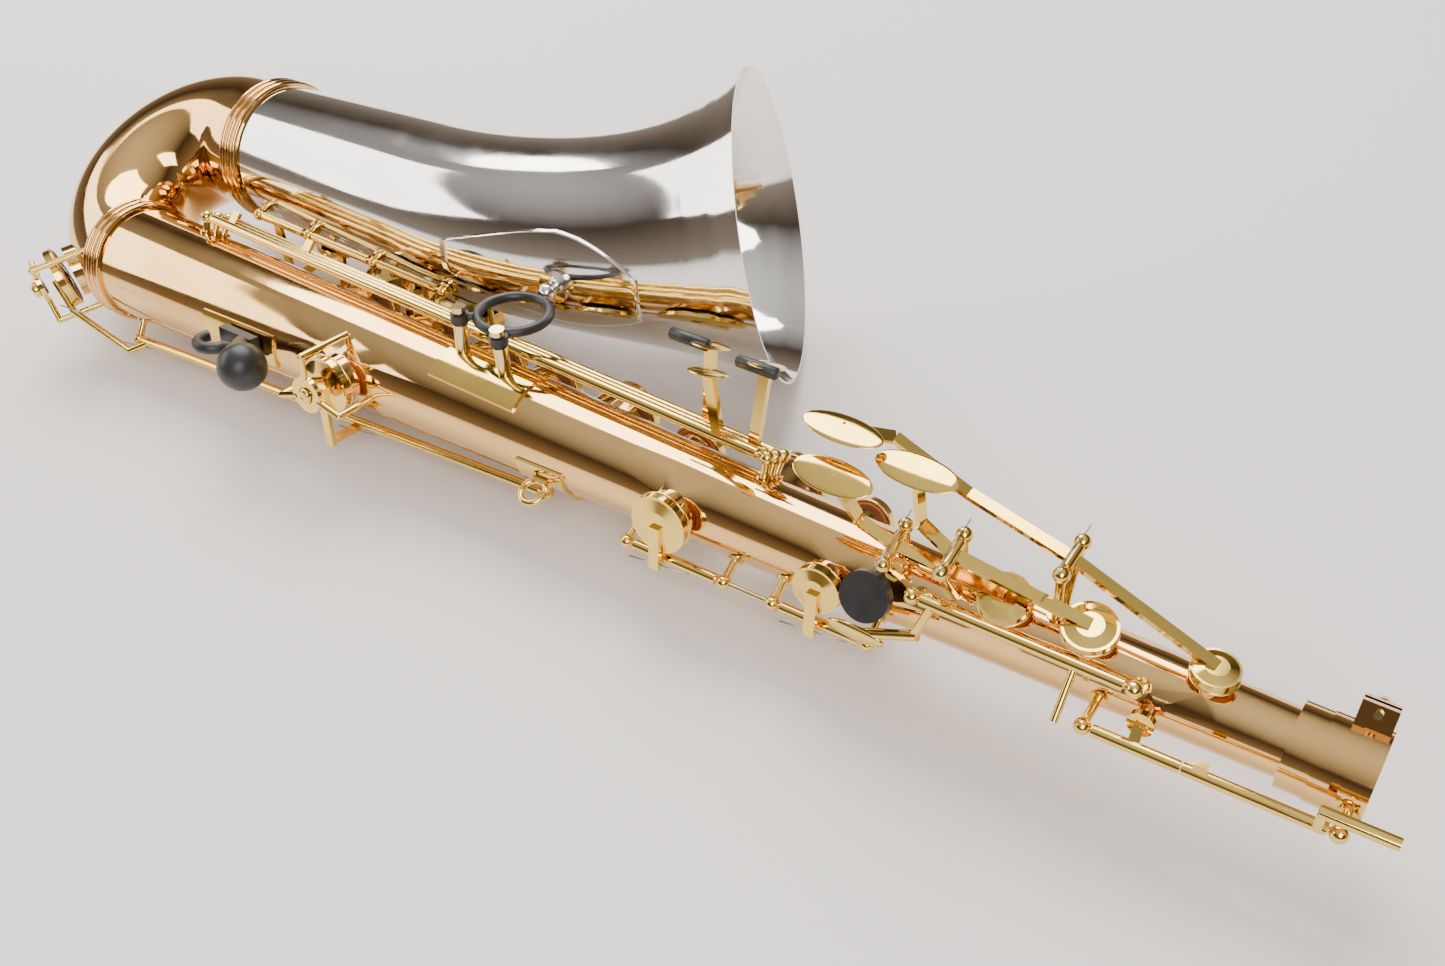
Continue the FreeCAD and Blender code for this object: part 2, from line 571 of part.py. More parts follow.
def hingedKey(label, frame, station, cup, barrel, side, height, opening, padNode=True):
    """A cup on an arm from a barrel that lies beside the tone hole, parallel to the wall."""
    shell, pad, top = cupAndPad(label, cup, sizes["chimneyHeight"], shift(0, 0, 0))
    lid = top + sizes["domeHeight"] - 0.4
    toward = 1 if side > 0 else -1
    reach = abs(side)
    arm = box(label + "Arm", "Sizes.armWidth", f"{reach} + Sizes.armThickness", "Sizes.armThickness",
              shift(0, toward * (reach + sizes["armThickness"]) / 2, lid))
    riser = box(label + "Riser", "Sizes.armWidth", "Sizes.armThickness", f"{lid - height}",
                shift(0, side, height))
    tube, bore = barrelOn(label, barrel[0] - station, barrel[1] - station, shift(0, side, height))
    key = cut(label + "Key", fuse(label + "Whole", [shell, arm, riser, tube]), bore)
    hinge = frame * Vector(0, side, height)
    swing = shift(0, side, height) * Placement(Vector(), Rotation(Vector(1, 0, 0), -toward * opening))
    place = frame * swing * shift(0, -side, -height)
    keep(key, label, place)
    hingeLines[label] = (hinge, frame.Rotation.multVec(Vector(1, 0, 0)), -toward)
    if padNode:
        keep(pad, label.replace("_key", "_pad"), place * pad.Placement)


def makeStackKeys():
    for label, key in stackKeys.items():
        rack = racks[key["rack"]]
        hingedKey(label, stackFrame(key, key["station"]), key["station"], key["cup"], key["barrel"],
                  sizes[rack["side"]], sizes[rack["height"]], key["open"],
                  padNode=key["rack"] != "bell")
    for name, rack in racks.items():
        line = stackFrame({"rack": name}, 0.0) * shift(0, sizes[rack["side"]], sizes[rack["height"]])
        if name == "bell":
            layRod(line, rack["posts"], sizes["bellOffset"], bellRadius)
        else:
            layRod(line, rack["posts"])


def makeBackKeys():
    """Low E flat and low C, which turn on the long back rod."""
    frame = lowEbFrame()
    rod = lowRodFrame()
    local = frame.inverse() * rod.Base
    start = lowEb["station"] + local.x
    spread = [start + station for station in lowEb["barrel"]]
    hingedKey("low_eb_key", frame, lowEb["station"], lowEb["cup"], spread, local.y, local.z, 0.0)
    makeLowC(rod)
    layRod(rod, lowRodPosts)


def makeLowC(rod):
    """The cup on the back of the bow, its arm and its barrel on the long back rod."""
    frame = lowCFrame()
    label = "low_c_key"
    shell, pad, top = cupAndPad(label, lowC["cup"], sizes["chimneyHeight"], frame)
    start, end = lowC["barrel"]
    tube, bore = barrelOn(label, start, end, rod)
    knee = rod * Vector(start - 6, 4, 7.5)
    flat = frame.inverse() * knee
    flat.z = 0
    level = top + sizes["armThickness"]
    lip = frame * (flat.normalize() * (lowC["cup"] + 2.5) + Vector(0, 0, level))
    bends = [rod * Vector(start + 5, 0, 0), knee, lip, frame * Vector(0, 0, level)]
    arms = [barAlong(f"{label}Arm{index}", first, last, "Sizes.armThickness * 0.9")
            for index, (first, last) in enumerate(zip(bends, bends[1:]))]
    arms += [solid("Sphere", f"{label}Bend{index}", Placement(bend, still), Radius="Sizes.armThickness * 0.9")
             for index, bend in enumerate(bends[1:3])]
    key = cut(label + "Key", fuse(label + "Whole", [shell, tube] + arms), bore)
    swing = rod * Placement(Vector(), Rotation(Vector(1, 0, 0), lowC["open"]))
    place = swing * rod.inverse()
    keep(key, label, place)
    keep(pad, "low_c_pad", place * pad.Placement)
    hingeLines[label] = (rod.Base, rod.Rotation.multVec(Vector(1, 0, 0)), 1)


def ellipsoid(label, length, width, thickness, place):
    """A rounded touch piece, longest along X and thin along Z."""
    return solid("Ellipsoid", label, place, Radius1=f"{thickness}", Radius2=f"{length}",
                 Radius3=f"{width}", Angle1=-90, Angle2=90, Angle3=360)


def makePalmKeys():
    """Palm keys rock on short rods across the tube: touch below, cup above."""
    sideways = Vector(0, 1, 0)
    half = sizes["palmBarrel"] / 2
    for label, key in palmKeys.items():
        frame = wallFrame(key["cup"], key["angle"])
        local = shift(-key["cup"], 0, 0)
        shell, pad, top = cupAndPad(label, key["radius"], sizes["chimneyHeight"], shift(0, 0, 0))
        pivot = local * Vector(*key["pivot"])
        across = Placement(pivot, Rotation(Vector(0, 0, 1), 90))
        tube, bore = barrelOn(label, -half, half, across)
        crown = Vector(0, 0, top + sizes["domeHeight"] - 0.6)
        bends = [crown, pivot] + [local * Vector(*bend) for bend in key["arm"]]
        strips = [stripAlong(f"{label}Strip{index}", first, last, "Sizes.armWidth",
                             "Sizes.armThickness", sideways)
                  for index, (first, last) in enumerate(zip(bends, bends[1:]))]
        touch = ellipsoid(label + "Touch", sizes["palmTouchLength"] / 2, sizes["palmTouchWidth"] / 2,
                          sizes["touchThickness"] / 2, Placement(bends[-1], still))
        whole = fuse(label + "Whole", [shell, tube, touch] + strips)
        keep(cut(label + "Key", whole, bore), label, frame)
        keep(pad, label.replace("_key", "_pad"), frame * pad.Placement)
        hingeLines[label] = (frame * pivot, frame.Rotation.multVec(sideways), -1)
        gap = half + sizes["ballRadius"] + sizes["barrelEndGap"]
        layRod(frame * across, (-gap, gap))


def makeLevers():
    """The three long levers from the little finger table down to the bell keys."""
    for label, lever in levers.items():
        spot = (lever["place"] - 1) * sizes["leverSpacing"]
        frame = wallFrame(0, sizes["leverAngle"]) * shift(0, spot, sizes["leverHeight"])
        start = sizes["leverStart"] + 5
        end = sizes["leverEnd"] - 5
        tube, bore = barrelOn(label, start, end, shift(0, 0, 0))
        tip = frame.inverse() * Vector(*lever["touch"])
        root = Vector(tip.x, 0, 0)
        upward = Vector(1, 0, 0)
        riser = stripAlong(label + "Riser", root, tip, "Sizes.armWidth", "Sizes.armThickness + 0.6", upward)
        touch = ellipsoid(label + "Touch", sizes["touchWidth"] / 2, sizes["touchLength"] / 2,
                          sizes["touchThickness"] / 2, Placement(tip, still))
        link = stripAlong(label + "Link", Vector(lever["link"], 0, 0), Vector(lever["link"], 2.5, 8),
                          "Sizes.armWidth", "Sizes.armThickness", upward)
        keep(cut(label + "Key", fuse(label + "Whole", [tube, riser, touch, link]), bore), label, frame)
        hingeLines[label] = (frame * Vector(), frame.Rotation.multVec(upward), -1)
        layRod(frame, (sizes["leverStart"], sizes["leverEnd"]))


def makeOctaveKeys():
    """Thumb lever on the left, the small vent key, and the neck lever with its pin."""
    gap = sizes["ballRadius"] + sizes["barrelEndGap"]
    upward = Vector(1, 0, 0)
    line = wallFrame(0, sizes["octaveAngle"]) * shift(0, 0, sizes["octaveHeight"])
    first, last = sizes["octaveStart"], sizes["octaveEnd"]
    tube, bore = barrelOn("octave_thumb_lever", first + gap, last - gap, line)
    hub = line * Vector(first + gap + 5, 0, 0)
    elbow = polar(first + gap, sizes["octaveElbowAngle"], sizes["octaveElbowReach"])
    tip = polar(sizes["restStation"] - 2, sizes["octaveTouchAngle"], sizes["octaveTouchReach"])
    barTip = polar(sizes["octaveBarStation"], sizes["octaveBarAngle"], sizes["octaveBarReach"])
    barHub = line * Vector(sizes["octaveBarStation"], 0, 0)
    facing = tubeFrame(0, sizes["octaveTouchAngle"]).Rotation
    arms = [barAlong("octaveArm", hub + (elbow - hub).normalize() * 2, elbow, "Sizes.armThickness * 0.8"),
            barAlong("octaveShank", elbow + (elbow - tip) * 0.08, tip, "Sizes.armThickness"),
            ellipsoid("octaveTouch", 13, 5, 2.2, Placement(tip, facing)),
            barAlong("octaveBar", barHub + (barTip - barHub).normalize() * 1.6, barTip,
                     "Sizes.armThickness * 0.7")]
    keep(fuse("octaveThumb", [cut("octaveThumbTube", tube, bore)] + arms), "octave_thumb_lever")
    hingeLines["octave_thumb_lever"] = (line.Base, line.Rotation.multVec(upward), 1)
    layRod(line, (first, last))

    line = wallFrame(0, sizes["neckRodAngle"]) * shift(0, 0, sizes["neckRodHeight"])
    first, last = sizes["neckRodStart"], sizes["neckRodEnd"]
    split = sizes["splitStation"]
    local = line.inverse()
    tube, bore = barrelOn("octave_neck_lever", split + 0.3, last - gap, shift(0, 0, 0))
    armRoot = Vector(last - gap - 3, 0, 0)
    pinSide = local * polar(last, sizes["pinAngle"], sizes["pinReach"])
    armTip = Vector(armRoot.x, pinSide.y, pinSide.z)
    arm = stripAlong("neckArm", armRoot, armTip, "Sizes.armThickness + 0.8", "Sizes.armWidth", upward)
    pin = barAlong("neckPin", armTip - upward, armTip + upward * sizes["pinLength"], "2.4")
    finger = stripAlong("neckFinger", Vector(sizes["fingerStation"], 0, 0),
                        Vector(sizes["fingerStation"], pinSide.y, pinSide.z + 1),
                        "Sizes.armWidth", "Sizes.armThickness", upward)
    keep(cut("neckLever", fuse("neckWhole", [tube, arm, pin, finger]), bore), "octave_neck_lever", line)
    hingeLines["octave_neck_lever"] = (line.Base, line.Rotation.multVec(upward), 1)

    tube, bore = barrelOn("octave_pip_key", first + gap, split - 0.3, shift(0, 0, 0))
    seat = local * pipFrame() * shift(0, 0, sizes["pipHeight"] + sizes["padRest"])
    cup = cylinder("pipCup", "Sizes.pipRadius + 1.8", "3", seat)
    arm = stripAlong("pipArm", Vector(seat.Base.x, 0, 0), seat * Vector(0, 0, 3.6),
                     "Sizes.armWidth - 1", "Sizes.armThickness", upward)
    keep(cut("pipKey", fuse("pipWhole", [tube, cup, arm]), bore), "octave_pip_key", line)
    hingeLines["octave_pip_key"] = (line.Base, line.Rotation.multVec(upward), 1)
    layRod(line, (first, last))


def makeBrace():
    """The ring that ties body and bell: its bolts, the plate on the body and the bell's foot."""
    place = Placement(Vector(sizes["braceX"], sizes["braceY"], sizes["braceZ"]),
                      Rotation(Vector(1, 0, 0), sizes["braceTilt"]))
    ring = solid("Torus", "braceTorus", place, Radius1="Sizes.braceRingRadius",
                 Radius2="Sizes.braceRingThickness")
    lugs = []
    bolts = []
    holes = []
    for index, (along, across) in enumerate(((-19.0, -16.0), (10.0, -21.0))):
        eye = place * Vector(along, across, 0)
        inner = place * Vector(along * 0.62, across * 0.62, 0)
        lugs.append(barAlong(f"braceLug{index}", inner, eye, "Sizes.braceRingThickness * 0.8"))
        lugs.append(cylinder(f"braceEye{index}", "Sizes.braceBoltRadius + 0.9", "4.2",
                             Placement(eye, place.Rotation) * shift(0, 0, -2.1)))
        out = eye - Vector(eye.x, 0, 0)
        drop = out.Length - tubeRadius(eye.x) - sizes["plateThickness"]
        stand = Placement(eye, Rotation(Vector(0, 0, 1), out))
        shank = cylinder(f"boltShank{index}", "Sizes.braceShankRadius", f"{drop + 3.4}",
                         stand * shift(0, 0, -drop))
        head = cylinder(f"boltHead{index}", "Sizes.braceBoltRadius", "2.6", stand * shift(0, 0, 3.2))
        nut = cylinder(f"boltNut{index}", "Sizes.braceBoltRadius", f"{drop - 3.4}",
                       stand * shift(0, 0, -drop))
        bolts.append(fuse(f"braceBolt{index}", [shank, head, nut]))
        holes.append(cylinder(f"braceEyeHole{index}", "Sizes.braceShankRadius + 0.1", "14",
                              stand * shift(0, 0, -7)))
    keep(cut("braceRingCut", fuse("braceRingWhole", [ring] + lugs), fuse("braceHoles", holes)), "brace_ring")
    keep(group("braceBolts", bolts), "brace_bolts")
    keep(saddle("bracePlate", sizes["braceX"], 74.0, 52.0, 26.0), "body_brace_plate")

    edge = place * Vector(0, sizes["braceRingRadius"] + sizes["braceRingThickness"] + 0.1, 0)
    centre = bellPoint(edge.x - sizes["bellStart"]).Base
    toward = (edge - centre).normalize()
    wall = centre + toward * sizes["bellFootDepth"]
    stem = barAlong("bellFootStem", wall, edge, "2.6")
    collar = barAlong("bellFootCollar", wall, wall + toward * 5.5, "8")
    knob = solid("Sphere", "bellFootKnob", Placement(wall + (edge - wall) * 0.68, still), Radius="4.5")
    clear = fuse("bellFootClear", bellForm("bellFootBell", "0", 0))
    keep(cut("bellFoot", fuse("bellFootWhole", [stem, collar, knob]), clear), "bell_brace_foot")


def makeStrapRing():
    frame = tubeFrame(sizes["strapStation"], sizes["strapAngle"])
    plate = saddle("strapPlate", sizes["strapStation"], sizes["strapAngle"], 26.0, 17.0)
    lift = tubeRadius(sizes["strapStation"]) + sizes["plateThickness"] + sizes["strapRingRadius"] + 0.6
    upright = Placement(Vector(0, 0, lift), Rotation(Vector(1, 0, 0), 90))
    ring = solid("Torus", "strapTorus", frame * upright, Radius1="Sizes.strapRingRadius",
                 Radius2="Sizes.strapWire")
    base = box("strapBase", "7", "3.4", "2.6", frame * shift(0, 0, tubeRadius(sizes["strapStation"]) + 0.6))
    keep(fuse("strapRing", [plate, ring, base]), "strap_ring")


def makeThumbPieces():
    """The hook for the right thumb with its base, and the rest for the left thumb."""
    station = sizes["hookStation"]
    angle = sizes["hookAngle"]
    frame = tubeFrame(station, angle)
    surface = tubeRadius(station)
    keep(saddle("hookPlate", station, angle + 2, 52.0, 18.0), "thumb_hook_base")
    bottom = surface + sizes["plateThickness"] + 0.3
    seat = box("hookSeat", "24", "13", "5", frame * shift(6, 0, bottom + 0.6))
    neck = barAlong("hookNeck", frame * Vector(10, 0, bottom + 3), frame * Vector(20, 2, bottom + 17),
                    "Sizes.hookWire * 1.4")
    tail = barAlong("hookTail", frame * Vector(20, 2, bottom + 17), frame * Vector(30, 2, bottom + 21),
                    "Sizes.hookWire * 1.6")
    bulb = solid("Sphere", "hookBulb", frame * shift(31, 2, bottom + 21), Radius="Sizes.hookBulb")
    curl = solid("Torus", "hookCurl", frame * Placement(Vector(-5, 0, bottom + 10),
                 Rotation(Vector(1, 0, 0), 90)), Radius1="8", Radius2="3", Angle1=-180, Angle2=180,
                 Angle3=200)
    link = barAlong("hookLink", frame * Vector(3, 0, bottom + 10.5), frame * Vector(12, 0, bottom + 7), "3.2")
    keep(fuse("thumbHook", [seat, neck, tail, bulb, curl, link]), "thumb_hook")

    frame = tubeFrame(sizes["restStation"], sizes["restAngle"])
    surface = tubeRadius(sizes["restStation"])
    stem = cylinder("restStem", "3", "Sizes.restHeight - 3", frame * shift(0, 0, surface - sizes["sink"]))
    disc = cylinder("restDisc", "Sizes.restRadius", "4.5",
                    frame * shift(0, 0, surface + sizes["restHeight"] - 4.5))
    keep(fuse("thumbRest", [stem, disc]), "thumb_rest")


def guardOver(label, frame, surface, cup, height, legs, bend=None):
    """An open guard over a cup: a flat ring on legs that stand on the tube of that radius.

    The frame is on the wall; a bend radius lowers the feet that stand along a bent tube.
    """
    outer = cylinder(label + "Outer", f"{cup * 0.62}", "Sizes.guardWire", frame * shift(0, 0, height))
    hole = cylinder(label + "Hole", f"{cup * 0.30}", "Sizes.guardWire + 2", frame * shift(0, 0, height - 1))
    wire = "Sizes.guardWire * 0.7"
    level = height + sizes["guardWire"] / 2
    feet = []
    for index, (along, across) in enumerate(legs):
        inner = Vector(along, across, 0) * (cup * 0.5 / math.hypot(along, across))
        drop = surface - math.sqrt(surface ** 2 - across ** 2) + 0.6
        if bend:
            drop += bend - math.sqrt(bend ** 2 - along ** 2)
        start = frame * Vector(inner.x, inner.y, level)
        knee = frame * Vector(along, across, level)
        foot = frame * Vector(along, across, -drop)
        feet.append(barAlong(f"{label}Arm{index}", start, knee, wire))
        feet.append(barAlong(f"{label}Leg{index}", knee, foot, wire))
        feet.append(solid("Sphere", f"{label}Knee{index}", Placement(knee, still), Radius=wire))
    return cut(label, fuse(label + "Whole", [outer] + feet), hole)


def makeGuards():
    bend = sizes["bellOffset"] / 2 + sizes["bodyFootRadius"]
    reach = lowC["cup"] + 5.5
    keep(guardOver("lowCGuard", lowCFrame(), sizes["bodyFootRadius"], lowC["cup"], 21.0,
                   ((-12.0, 18.5), (-12.0, -18.5), (reach - 1, 0.0)), bend), "low_c_guard")
    reach = lowEb["cup"] + 5.0
    keep(guardOver("lowEbGuard", lowEbFrame(), tubeRadius(lowEb["station"]), lowEb["cup"], 18.0,
                   ((-reach, -6.0), (reach, -6.0), (0.0, reach))), "low_eb_guard")
    rings = []
    for label in ("low_b_key", "low_bb_key"):
        key = stackKeys[label]
        reach = key["cup"] + 2.5
        rings.append(guardOver(label + "Guard", stackFrame(key, key["station"]),
                               bellRadius(key["station"]), key["cup"], 26.0,
                               ((-reach, -14.0), (reach, 14.0))))
    keep(group("bellGuards", rings), "bell_key_guards")


def makeSideRests():
    """Two stout ball-ended posts on the right side that the instrument lies on."""
    rests = []
    for station in sideRests:
        wall = polar(station, sizes["sideRestAngle"], tubeRadius(station) - sizes["sink"])
        tip = polar(station, sizes["sideRestAngle"], sizes["sideRestReach"])
        name = f"sideRest{len(rests)}"
        stem = barAlong(name + "Stem", wall, tip, "Sizes.sideRestRadius")
        ball = solid("Sphere", name + "Ball", Placement(tip, still), Radius="Sizes.sideRestBall")
        rests.append(fuse(name, [stem, ball]))
    keep(group("sideRestGroup", rests), "side_rests")


makeBodyTube()
makeBow()
makeBell()
makeRings()
makeReceiver()
makeBrace()
makeStrapRing()
makeThumbPieces()
makeGuards()
makeSideRests()
makeStackKeys()
makeBackKeys()
makePalmKeys()
makeLevers()
makeOctaveKeys()
allRods = group("allRods", rods)
keep(allRods, "hinge_rods")
postGroup = group("postGroup", posts)
keep(cut("keyPosts", postGroup, group("rodHoles", rods)), "key_posts")
doc.recompute()

# The instrument lies on its right side: turned onto its resting points, then moved so that
# the origin is the middle of its footprint.
lie = Placement(Vector(), Rotation(Vector(1, 0, 0), sizes["lieRoll"]))
lie = Placement(Vector(), Rotation(Vector(0, 1, 0), sizes["liePitch"])) * lie
corners = []
for item in nodes:
    points, _ = item.Shape.tessellate(0.2)
    corners += [lie * point for point in points]
middle = [(min(axis) + max(axis)) / 2 for axis in zip(*[(spot.x, spot.y) for spot in corners])]
floor = min(spot.z for spot in corners)
lie = shift(-middle[0], -middle[1], -floor) * lie

failed = [item.Name for item in doc.Objects if {"Invalid", "Error"} & set(item.State)]
failed += [item.Label for item in nodes if item.Shape.isNull() or not item.Shape.isValid()]
if failed:
    raise SystemExit("these objects failed: " + ", ".join(failed))
for item in nodes:
    item.Placement = lie * item.Placement
doc.recompute()
for item in nodes:
    item.Shape.exportStep(f"parts/{item.Label}.step")
    print(item.Label, len(item.Shape.Solids), round(item.Shape.Volume))
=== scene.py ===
import json
import math
import bmesh
import bpy
import numpy as np
from mathutils import Matrix, Vector

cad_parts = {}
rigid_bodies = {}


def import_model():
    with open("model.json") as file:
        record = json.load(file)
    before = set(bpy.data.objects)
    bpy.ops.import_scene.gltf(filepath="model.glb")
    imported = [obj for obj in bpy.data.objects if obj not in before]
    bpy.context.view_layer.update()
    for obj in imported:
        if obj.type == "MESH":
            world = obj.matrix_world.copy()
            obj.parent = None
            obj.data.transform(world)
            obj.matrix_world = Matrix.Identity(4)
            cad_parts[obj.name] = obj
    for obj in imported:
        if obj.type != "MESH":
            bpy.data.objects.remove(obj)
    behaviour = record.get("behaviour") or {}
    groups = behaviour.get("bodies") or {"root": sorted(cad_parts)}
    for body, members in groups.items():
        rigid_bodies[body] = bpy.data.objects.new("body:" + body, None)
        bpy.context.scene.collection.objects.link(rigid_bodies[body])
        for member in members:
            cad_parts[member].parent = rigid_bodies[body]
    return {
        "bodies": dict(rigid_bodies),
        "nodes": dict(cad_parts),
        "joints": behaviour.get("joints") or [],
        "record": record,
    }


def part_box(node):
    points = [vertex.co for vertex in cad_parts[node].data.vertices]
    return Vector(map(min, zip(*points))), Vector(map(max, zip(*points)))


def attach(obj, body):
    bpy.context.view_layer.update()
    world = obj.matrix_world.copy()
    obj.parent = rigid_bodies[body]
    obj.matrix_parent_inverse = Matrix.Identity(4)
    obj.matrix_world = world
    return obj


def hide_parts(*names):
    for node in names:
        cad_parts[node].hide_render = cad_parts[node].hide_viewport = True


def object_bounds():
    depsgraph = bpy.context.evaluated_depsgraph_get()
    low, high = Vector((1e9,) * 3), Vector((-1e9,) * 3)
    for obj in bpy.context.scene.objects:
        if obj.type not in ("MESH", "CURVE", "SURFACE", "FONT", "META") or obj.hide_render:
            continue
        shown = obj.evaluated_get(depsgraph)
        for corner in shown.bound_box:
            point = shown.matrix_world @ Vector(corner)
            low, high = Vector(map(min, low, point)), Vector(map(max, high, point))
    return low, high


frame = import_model()
cadLow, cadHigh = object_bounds()
print("frame loaded")

# the horn is drawn along its own axes in millimetres and then laid on its side
lie = {"roll": 15.6918, "along": -0.296836, "across": -0.071526, "up": 0.046992}
lieMatrix = (Matrix.Translation((lie["along"], lie["across"], lie["up"]))
             @ Matrix.Rotation(math.radians(lie["roll"]), 4, "X"))


def onHorn(x, y, z):
    return lieMatrix @ Vector((x / 1000, y / 1000, z / 1000))


def turnTo(normal):
    return Vector((0, 0, 1)).rotation_difference(normal).to_matrix().to_4x4()


# camera over the neck end, looking down the body tube
cameraView = {"place": (657.4, -177.3, 479.8), "right": (0.8191, 0.5106, -0.2613),
              "down": (0.3381, -0.7978, -0.4991), "ahead": (-0.4633, 0.3205, -0.8262), "lens": 33.43}
cameraData = bpy.data.cameras.new("hornCamera")
cameraData.lens = cameraView["lens"]
cameraData.sensor_width = 36
cameraData.clip_start = 0.01
hornCamera = bpy.data.objects.new("hornCamera", cameraData)
bpy.context.scene.collection.objects.link(hornCamera)
turned = lieMatrix.to_3x3()
columns = (turned @ Vector(cameraView["right"]), turned @ -Vector(cameraView["down"]),
           turned @ -Vector(cameraView["ahead"]))
hornCamera.matrix_world = (Matrix.Translation(onHorn(*cameraView["place"]))
                           @ Matrix(columns).transposed().to_4x4())
bpy.context.scene.camera = hornCamera


# ---- finishes

def startMaterial(name):
    material = bpy.data.materials.new(name)
    material.use_nodes = True
    nodes = material.node_tree.nodes
    return material, nodes, material.node_tree.links, nodes["Principled BSDF"]


def cloudyColour(nodes, links, coords, scale, detail, stops):
    noise = nodes.new("ShaderNodeTexNoise")
    noise.inputs["Scale"].default_value = scale
    noise.inputs["Detail"].default_value = detail
    links.new(coords.outputs["Object"], noise.inputs["Vector"])
    ramp = nodes.new("ShaderNodeValToRGB")
    ramp.color_ramp.elements[0].position = 0.32
    ramp.color_ramp.elements[1].position = 0.68
    ramp.color_ramp.elements[0].color = (*stops[0], 1)
    ramp.color_ramp.elements[1].color = (*stops[1], 1)
    links.new(noise.outputs["Fac"], ramp.inputs["Fac"])
    return ramp


def roughnessMap(nodes, links, coords, scale, low, high):
    noise = nodes.new("ShaderNodeTexNoise")
    noise.inputs["Scale"].default_value = scale
    noise.inputs["Detail"].default_value = 5
    links.new(coords.outputs["Object"], noise.inputs["Vector"])
    spread = nodes.new("ShaderNodeMapRange")
    spread.inputs["From Min"].default_value = 0.3
    spread.inputs["From Max"].default_value = 0.7
    spread.inputs["To Min"].default_value = low
    spread.inputs["To Max"].default_value = high
    links.new(noise.outputs["Fac"], spread.inputs["Value"])
    return spread


def finishBump(nodes, links, coords, shader, scale, strength, distance):
    noise = nodes.new("ShaderNodeTexNoise")
    noise.inputs["Scale"].default_value = scale
    noise.inputs["Detail"].default_value = 3
    links.new(coords.outputs["Object"], noise.inputs["Vector"])
    bump = nodes.new("ShaderNodeBump")
    bump.inputs["Strength"].default_value = strength
    bump.inputs["Distance"].default_value = distance
    links.new(noise.outputs["Fac"], bump.inputs["Height"])
    links.new(bump.outputs["Normal"], shader.inputs["Normal"])


def platedMetal(name, tints, rough, coat, bump):
    material, nodes, links, shader = startMaterial(name)
    coords = nodes.new("ShaderNodeTexCoord")
    shader.inputs["Metallic"].default_value = 1.0
    links.new(cloudyColour(nodes, links, coords, 14, 4, tints).outputs["Color"],
              shader.inputs["Base Color"])
    links.new(roughnessMap(nodes, links, coords, 60, *rough).outputs["Result"],
              shader.inputs["Roughness"])
    shader.inputs["Coat Weight"].default_value = coat
    shader.inputs["Coat Roughness"].default_value = 0.06
    finishBump(nodes, links, coords, shader, 38, bump, 0.0004)
    return material


lacquers = {
    "bronzeLacquer": (((0.80, 0.47, 0.15), (0.88, 0.56, 0.215)), (0.05, 0.10), 0.3, 0.03),
    "keyBrass": (((0.82, 0.55, 0.11), (0.92, 0.65, 0.17)), (0.06, 0.13), 0.25, 0.05),
    "silverPlate": (((0.80, 0.78, 0.74), (0.90, 0.88, 0.85)), (0.05, 0.10), 0.2, 0.04),
    "blueSteel": (((0.30, 0.30, 0.32), (0.42, 0.42, 0.44)), (0.16, 0.26), 0.0, 0.05),
    "rodSteel": (((0.78, 0.60, 0.28), (0.86, 0.68, 0.34)), (0.10, 0.20), 0.1, 0.05),
}
metals = {name: platedMetal(name, *values) for name, values in lacquers.items()}

blackNylon, nodes, links, shader = startMaterial("blackNylon")
coords = nodes.new("ShaderNodeTexCoord")
links.new(cloudyColour(nodes, links, coords, 90, 3, ((0.010, 0.010, 0.011), (0.022, 0.021, 0.022)))
          .outputs["Color"], shader.inputs["Base Color"])
links.new(roughnessMap(nodes, links, coords, 120, 0.34, 0.48).outputs["Result"],
          shader.inputs["Roughness"])
finishBump(nodes, links, coords, shader, 420, 0.12, 0.0004)

padLeather, nodes, links, shader = startMaterial("padLeather")
coords = nodes.new("ShaderNodeTexCoord")
links.new(cloudyColour(nodes, links, coords, 70, 5, ((0.30, 0.115, 0.045), (0.47, 0.20, 0.085)))
          .outputs["Color"], shader.inputs["Base Color"])
shader.inputs["Specular IOR Level"].default_value = 0.35
links.new(roughnessMap(nodes, links, coords, 200, 0.5, 0.68).outputs["Result"],
          shader.inputs["Roughness"])
grain = nodes.new("ShaderNodeTexVoronoi")
grain.inputs["Scale"].default_value = 900
links.new(coords.outputs["Object"], grain.inputs["Vector"])
grainBump = nodes.new("ShaderNodeBump")
grainBump.inputs["Strength"].default_value = 0.35
grainBump.inputs["Distance"].default_value = 0.0003
links.new(grain.outputs["Distance"], grainBump.inputs["Height"])
links.new(grainBump.outputs["Normal"], shader.inputs["Normal"])

cork, nodes, links, shader = startMaterial("bumperFelt")
coords = nodes.new("ShaderNodeTexCoord")
links.new(cloudyColour(nodes, links, coords, 400, 6, ((0.055, 0.040, 0.032), (0.12, 0.085, 0.06)))
          .outputs["Color"], shader.inputs["Base Color"])
shader.inputs["Roughness"].default_value = 0.9
shader.inputs["Sheen Weight"].default_value = 0.3
finishBump(nodes, links, coords, shader, 1600, 0.5, 0.0003)

slotFinish = {"bronze_lacquer": metals["bronzeLacquer"], "key_brass": metals["keyBrass"],
              "silver_plate": metals["silverPlate"], "black_plastic": blackNylon,
              "steel": metals["rodSteel"], "pad_leather": padLeather}
nodeSlots = {part["node"]: part["material_slot"] for part in frame["record"]["subparts"]
             if "material_slot" in part}
for name, node in frame["nodes"].items():
    slotName = nodeSlots.get(name)
    if slotName is None:
        slotName = node.data.materials[0].name if node.data.materials else "key_brass"
    finish = slotFinish.get(slotName, metals["keyBrass"])
    if node.data.materials:
        for index in range(len(node.data.materials)):
            node.data.materials[index] = finish
    else:
        node.data.materials.append(finish)
print("finishes on", len(frame["nodes"]), "nodes")


# ---- fittings

